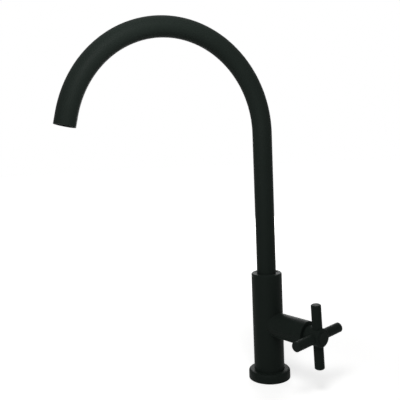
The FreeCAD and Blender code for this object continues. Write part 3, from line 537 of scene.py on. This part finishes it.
@dataclass
class DeckFixing:
    """Threaded tail with its nut and washers, under the deck."""

    shop: Workshop
    pitch: float = 1.814 * MM
    thread_depth: float = 1.16 * MM
    # One turn of the thread: whether each point is on the crest, and its height in pitches
    outline: tuple[tuple[bool, float], ...] = (
        (False, 0.0), (False, 0.083), (True, 0.417), (True, 0.583), (False, 0.917), (False, 1.0))
    spare_turns: int = 2
    overcut: float = 0.3 * MM
    bore: float = 6.0 * MM
    edge: float = 1.2 * MM
    relief_top: float = -34.3 * MM
    relief_width: float = 2.0 * MM
    relief_depth: float = 1.3 * MM
    relief_slope: float = 0.5 * MM
    thread_steps: int = 56
    envelope_steps: int = 96
    seam_weld: float = 2e-6
    sliver_weld: float = 4e-6
    smooth_degrees: float = 28.0
    nuts: tuple[str, ...] = ("back_nut",)
    washers: tuple[str, ...] = ("clamp_washer",)
    gaskets: tuple[str, ...] = ("deck_washer", "base_gasket")

    def screwed_rod(self, major: float, foot: float, top: float) -> bpy.types.Object:
        """Screw the thread's outline up the tail, and close it flat just past both ends.

        Args:
            major: the thread's crest radius.
            foot: height of the tail's lower end.
            top: height of its upper end.

        Returns:
            The rod, closed and without a bore.
        """
        radii = {True: major, False: major - self.thread_depth}
        start = foot - self.pitch
        rod = Bench.profile("tail_thread", [
            (radii[crest], start + share * self.pitch) for crest, share in self.outline])
        screw = rod.modifiers.new("screw", "SCREW")
        screw.axis = "Z"
        screw.steps = screw.render_steps = self.thread_steps
        screw.iterations = math.ceil((top - foot) / self.pitch) + self.spare_turns
        screw.screw_offset = self.pitch
        bpy.context.view_layer.objects.active = rod
        bpy.ops.object.modifier_apply(modifier=screw.name)
        Bench.tidy(rod, self.seam_weld)
        bpy.ops.object.mode_set(mode="EDIT")
        for height, above in ((foot - self.overcut, False), (top + self.overcut, True)):
            bpy.ops.mesh.select_all(action="SELECT")
            bpy.ops.mesh.bisect(plane_co=(0, 0, height), plane_no=(0, 0, 1), use_fill=True,
                                clear_inner=not above, clear_outer=above)
        bpy.ops.mesh.select_all(action="SELECT")
        bpy.ops.mesh.normals_make_consistent(inside=False)
        bpy.ops.object.mode_set(mode="OBJECT")
        return rod

    def envelope(self, major: float, foot: float, top: float) -> bpy.types.Object:
        """Turn the solid that the tail is kept inside, with its bore, tapered foot and relief.

        Args:
            major: the thread's crest radius.
            foot: height of the tail's lower end.
            top: height of its upper end.

        Returns:
            The solid, wider than the tail where the crests are kept whole.
        """
        wide = major + self.pitch
        neck = major - self.relief_depth
        taper_top = foot + self.edge + self.overcut
        relief_low = self.relief_top - self.relief_width
        return Bench.turned("tail_envelope", [
            (self.bore, foot), (major - self.edge, foot), (major + self.overcut, taper_top),
            (wide, taper_top), (wide, relief_low - self.relief_slope),
            (major, relief_low - self.relief_slope), (neck, relief_low), (neck, self.relief_top),
            (major, self.relief_top + self.relief_slope),
            (wide, self.relief_top + self.relief_slope),
            (wide, top), (self.bore, top), (self.bore, foot)], self.envelope_steps)

    def threaded_tail(self) -> bpy.types.Object:
        """Cut a pipe thread into the tail: a screwed rod kept inside a turned envelope.

        Returns:
            The piece that stands for the frame's plain tail.
        """
        low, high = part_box("inlet_shank")
        major = (high[0] - low[0]) / 2
        tail = self.screwed_rod(major, low[2], high[2])
        Bench.keep_inside(tail, self.envelope(major, low[2], high[2]))
        Bench.tidy(tail, self.sliver_weld)
        Bench.smooth(tail, self.smooth_degrees)
        return tail

    def build(self) -> None:
        """Build the tail and dress the parts that clamp the tap."""
        tail = self.threaded_tail()
        Bench.dress(tail, self.shop.finish(BRASS, Lay.UPRIGHT))
        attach(tail, "tap_body")
        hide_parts("inlet_shank")
        LOG.info("tail_thread: %d faces", len(tail.data.polygons))
        self.shop.dress_nodes(BRASS, Lay.UPRIGHT, self.nuts)
        self.shop.dress_nodes(STEEL, Lay.UPRIGHT, self.washers)
        self.shop.dress_nodes(RUBBER, Lay.UPRIGHT, self.gaskets)


@dataclass
class SwanNeckSpout:
    """Bent spout with its turned tail and the aerator in its mouth."""

    shop: Workshop
    coated: tuple[str, ...] = ("spout_tube", "mouth_ring")
    turned: tuple[str, ...] = ("spout_tail",)
    seals: tuple[str, ...] = ("spout_rings", "aerator_seal")
    shell: tuple[str, ...] = ("aerator_housing",)
    insets: tuple[str, ...] = ("aerator_grid", "aerator_screen")

    def build(self) -> None:
        """Dress the tube, its tail and the aerator."""
        self.shop.dress_nodes(LACQUER, Lay.UPRIGHT, self.coated)
        self.shop.dress_nodes(BRASS, Lay.UPRIGHT, self.turned)
        self.shop.dress_nodes(RUBBER, Lay.UPRIGHT, self.seals)
        self.shop.dress_nodes(BLACK_ACETAL, Lay.UPRIGHT, self.shell)
        self.shop.dress_nodes(GREY_ACETAL, Lay.UPRIGHT, self.insets)


@dataclass
class QuarterTurnValve:
    """Ceramic headwork in the branch."""

    shop: Workshop
    turned: tuple[str, ...] = ("headwork_bush", "spindle")
    discs: tuple[str, ...] = ("fixed_disc", "moving_disc")
    clips: tuple[str, ...] = ("spindle_clip",)
    flat_rings: tuple[str, ...] = ("headwork_gasket",)
    seals: tuple[str, ...] = ("lip_seal", "spindle_rings")

    def build(self) -> None:
        """Dress the headwork's parts."""
        self.shop.dress_nodes(BRASS, Lay.VALVE, self.turned)
        self.shop.dress_nodes(ALUMINA, Lay.VALVE, self.discs)
        self.shop.dress_nodes(STEEL, Lay.VALVE, self.clips)
        self.shop.dress_nodes(BLACK_ACETAL, Lay.VALVE, self.flat_rings)
        self.shop.dress_nodes(RUBBER, Lay.VALVE, self.seals)


@dataclass
class CrossHandle:
    """Hub with four round arms, a cap and the screw under it."""

    shop: Workshop
    coated: tuple[str, ...] = ("handle_hub", "index_cap")
    arms: int = 4
    screws: tuple[str, ...] = ("handle_screw",)

    def build(self) -> None:
        """Dress the handle."""
        arms = ["handle_arm_%d" % (index + 1) for index in range(self.arms)]
        self.shop.dress_nodes(LACQUER, Lay.VALVE, [*self.coated, *arms])
        self.shop.dress_nodes(STEEL, Lay.VALVE, self.screws)


@dataclass(frozen=True)
class Lamp:
    """Soft box that hangs beside the tap, with its places in metres and its power in watts."""

    name: str
    place: tuple[float, float, float]
    target: tuple[float, float, float]
    watts: float
    width: float
    height: float

    def hang(self) -> None:
        """Add the lamp, out of the camera's sight, and point it at its target."""
        data = bpy.data.lights.new(self.name, "AREA")
        data.shape = "RECTANGLE"
        data.size, data.size_y = self.width, self.height
        data.energy = self.watts
        made = bpy.data.objects.new(self.name, data)
        away = Vector(self.place) - Vector(self.target)
        turned = away.to_track_quat("Z", "Y").to_matrix().to_4x4()
        made.matrix_world = Matrix.Translation(self.place) @ turned
        made.visible_camera = False
        bpy.context.scene.collection.objects.link(made)


@dataclass
class Studio:
    """Floor, light and camera of a plain product photograph.

    Lengths are in metres, angles in degrees, and the focal length in the photograph's pixels.
    """

    photo_pixels: float = 400.0
    focal_pixels: float = 599.11
    distance: float = 0.62364
    camera_height: float = 0.26379
    azimuth: float = -34.31
    yaw: float = -6.151
    pitch: float = 6.4175
    roll: float = -2.513
    sensor_mm: float = 36.0
    nearest: float = 0.01
    floor_radius: float = 4.0
    floor_corners: int = 96
    floor_drop: float = 0.1 * MM
    floor_near: float = 0.1
    floor_far: float = 0.45
    floor_glow: float = 0.68
    floor_colour: str = "#DEDEDD"
    sky_light: float = 0.03
    lamps: tuple[Lamp, ...] = (
        Lamp("key_light", (-0.18, -0.24, 0.46), (-0.08, 0.0, 0.32),
             watts=1.1, width=0.16, height=0.16),
        Lamp("front_light", (-1.15, -0.82, 0.35), (-0.05, 0.0, 0.16),
             watts=4.0, width=0.5, height=0.5),
        Lamp("top_light", (-0.05, 0.25, 1.0), (-0.05, 0.0, 0.1),
             watts=0.4, width=0.7, height=0.7),
        Lamp("back_light", (0.65, 0.95, 0.4), (-0.05, 0.0, 0.18),
             watts=6.0, width=0.6, height=0.6),
    )

    def camera_pose(self) -> Matrix:
        """Work out where the photograph was taken from and which way the camera looked.

        Returns:
            The camera's place and axes.
        """
        turn, yaw, pitch, roll = (
            math.radians(angle) for angle in (self.azimuth, self.yaw, self.pitch, self.roll))
        ahead = Vector((-math.sin(turn), math.cos(turn), 0.0))
        right = Vector((math.cos(turn), math.sin(turn), 0.0))
        upright = Vector((0.0, 0.0, 1.0))
        level = math.cos(yaw) * ahead + math.sin(yaw) * right
        looking = math.cos(pitch) * level - math.sin(pitch) * upright
        side = math.cos(yaw) * right - math.sin(yaw) * ahead
        over = side.cross(looking)
        side, over = (math.cos(roll) * side + math.sin(roll) * over,
                      math.cos(roll) * over - math.sin(roll) * side)
        pose = Matrix((side, over, -looking)).transposed().to_4x4()
        pose.translation = Vector((
            math.sin(turn) * self.distance, -math.cos(turn) * self.distance, self.camera_height))
        return pose

    def camera(self) -> None:
        """Put the camera where the photograph was taken from."""
        data = bpy.data.cameras.new("camera")
        data.sensor_width = self.sensor_mm
        data.lens = self.sensor_mm * self.focal_pixels / self.photo_pixels
        data.clip_start = self.nearest
        made = bpy.data.objects.new("camera", data)
        made.matrix_world = self.camera_pose()
        bpy.context.scene.collection.objects.link(made)
        bpy.context.scene.camera = made

    def floor(self) -> None:
        """Lay a pale floor that shows the tap's shadow and fades to the background's white."""
        Bench.clear()
        bpy.ops.mesh.primitive_circle_add(
            vertices=self.floor_corners, radius=self.floor_radius, fill_type="NGON",
            location=(0.0, 0.0, -self.floor_drop))
        made = bpy.context.object
        made.name = "floor"
        bpy.ops.object.transform_apply(location=True, rotation=False, scale=False)
        material = empty_material("pale_floor")
        tree = material.node_tree
        seen = self.seen(tree)
        place = add_node(tree, "ShaderNodeTexCoord").outputs["Object"]
        away = add_node(tree, "ShaderNodeVectorMath", {0: place}, operation="LENGTH")
        fade = add_node(tree, "ShaderNodeMapRange", {
            "Value": away.outputs["Value"], "From Min": self.floor_near,
            "From Max": self.floor_far, "To Min": self.floor_glow, "To Max": 1.0},
            interpolation_type="SMOOTHSTEP")
        glow = add_node(tree, "ShaderNodeMath", {0: fade.outputs["Result"], 1: seen},
                        operation="MULTIPLY")
        matt = add_node(tree, "ShaderNodeBsdfDiffuse", {"Color": linear(self.floor_colour)})
        light = add_node(tree, "ShaderNodeEmission", {
            "Color": linear(WHITE), "Strength": glow.outputs[0]})
        mixed = add_node(tree, "ShaderNodeAddShader", {
            0: matt.outputs["BSDF"], 1: light.outputs["Emission"]})
        add_node(tree, "ShaderNodeOutputMaterial", {"Surface": mixed.outputs["Shader"]})
        Bench.dress(made, material)

    @staticmethod
    def seen(tree: bpy.types.NodeTree) -> bpy.types.NodeSocket:
        """Tell the rays that show a surface from those that only light another.

        Args:
            tree: the node tree.

        Returns:
            A socket of one for camera, glossy and transmitted rays, and nought for the rest.
        """
        path = add_node(tree, "ShaderNodeLightPath")
        either = add_node(tree, "ShaderNodeMath", {
            0: path.outputs["Is Camera Ray"], 1: path.outputs["Is Glossy Ray"]},
            operation="MAXIMUM")
        every = add_node(tree, "ShaderNodeMath", {
            0: either.outputs[0], 1: path.outputs["Is Transmission Ray"]}, operation="MAXIMUM")
        return every.outputs[0]

    def world(self) -> None:
        """Make the background white where it is seen and dim where it only lights."""
        world = bpy.data.worlds.new("studio")
        world.use_nodes = True
        tree = world.node_tree
        tree.nodes.clear()
        strength = add_node(tree, "ShaderNodeMapRange", {
            "Value": self.seen(tree), "To Min": self.sky_light, "To Max": 1.0})
        back = add_node(tree, "ShaderNodeBackground", {
            "Color": linear(WHITE), "Strength": strength.outputs["Result"]})
        add_node(tree, "ShaderNodeOutputWorld", {"Surface": back.outputs["Background"]})
        bpy.context.scene.world = world

    def build(self) -> None:
        """Set up the studio."""
        self.camera()
        self.floor()
        self.world()
        for lamp in self.lamps:
            lamp.hang()
        bpy.context.scene.view_settings.view_transform = "Standard"


def main() -> None:
    """Build the studio and dress the tap, part by part."""
    logging.basicConfig(level=logging.INFO, format="%(name)s: %(message)s")
    Studio().build()
    shop = Workshop()
    for group in (PillarAndBase(shop), DeckFixing(shop), SwanNeckSpout(shop),
                  QuarterTurnValve(shop), CrossHandle(shop)):
        group.build()
        LOG.info("%s done", type(group).__name__)
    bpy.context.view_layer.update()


if __name__ == "__main__":
    main()
